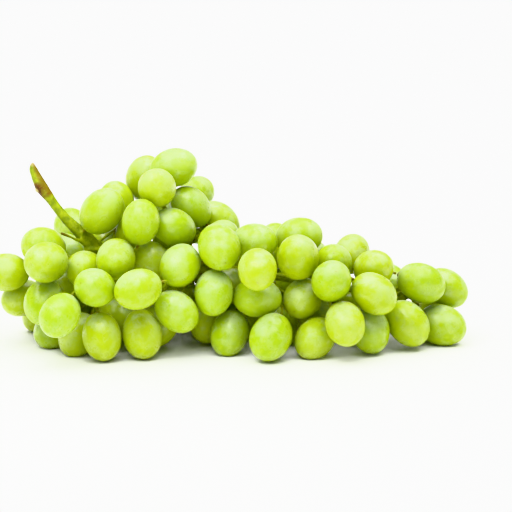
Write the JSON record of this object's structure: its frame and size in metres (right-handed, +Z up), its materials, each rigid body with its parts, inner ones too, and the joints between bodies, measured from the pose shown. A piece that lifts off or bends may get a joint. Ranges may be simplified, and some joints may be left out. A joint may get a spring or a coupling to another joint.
{
  "type": "bunch of grapes",
  "caption": "Bunch of green table grapes lying on its side: oval berries crowded round a branching green stem, with a cut stalk rising at the thick end.",
  "frame": {"origin": "middle of the bunch's box at the level of the ground it lies on", "axes": "+X from the cut stalk's end to the tip of the bunch, along its length; +Z up; the front, where the outer berries are single pieces, faces -Y"},
  "size_m": [0.2572, 0.129, 0.1028],
  "materials": {
    "grape_skin": "smooth, waxy bloom, slightly translucent",
    "green_stem": "matt, fibrous"
  },
  "bodies": {
    "root": {"berry_01": "grape_skin", "berry_02": "grape_skin", "berry_03": "grape_skin", "berry_04": "grape_skin", "berry_05": "grape_skin", "berry_06": "grape_skin", "berry_07": "grape_skin", "berry_08": "grape_skin", "berry_09": "grape_skin", "berry_10": "grape_skin", "berry_11": "grape_skin", "berry_12": "grape_skin", "berry_13": "grape_skin", "berry_14": "grape_skin", "berry_15": "grape_skin", "berry_16": "grape_skin", "berry_17": "grape_skin", "berry_18": "grape_skin", "berry_19": "grape_skin", "berry_20": "grape_skin", "berry_21": "grape_skin", "berry_22": "grape_skin", "berry_23": "grape_skin", "berry_24": "grape_skin", "berry_25": "grape_skin", "berry_26": "grape_skin", "berry_27": "grape_skin", "berry_28": "grape_skin", "berry_29": "grape_skin", "berry_30": "grape_skin", "berry_31": "grape_skin", "berry_32": "grape_skin", "berry_33": "grape_skin", "berry_34": "grape_skin", "berry_35": "grape_skin", "berry_36": "grape_skin", "berry_37": "grape_skin", "berry_38": "grape_skin", "berry_39": "grape_skin", "berry_40": "grape_skin", "berry_41": "grape_skin", "berry_42": "grape_skin", "berry_43": "grape_skin", "berry_44": "grape_skin", "berry_45": "grape_skin", "berry_46": "grape_skin", "berry_47": "grape_skin", "berry_48": "grape_skin", "sprig_01": "grape_skin", "sprig_02": "grape_skin", "sprig_03": "grape_skin", "sprig_04": "grape_skin", "sprig_05": "grape_skin", "sprig_06": "grape_skin", "sprig_07": "grape_skin", "sprig_08": "grape_skin", "sprig_09": "grape_skin", "sprig_10": "grape_skin", "sprig_11": "grape_skin", "stem": "green_stem"}
  },
  "joints": []
}
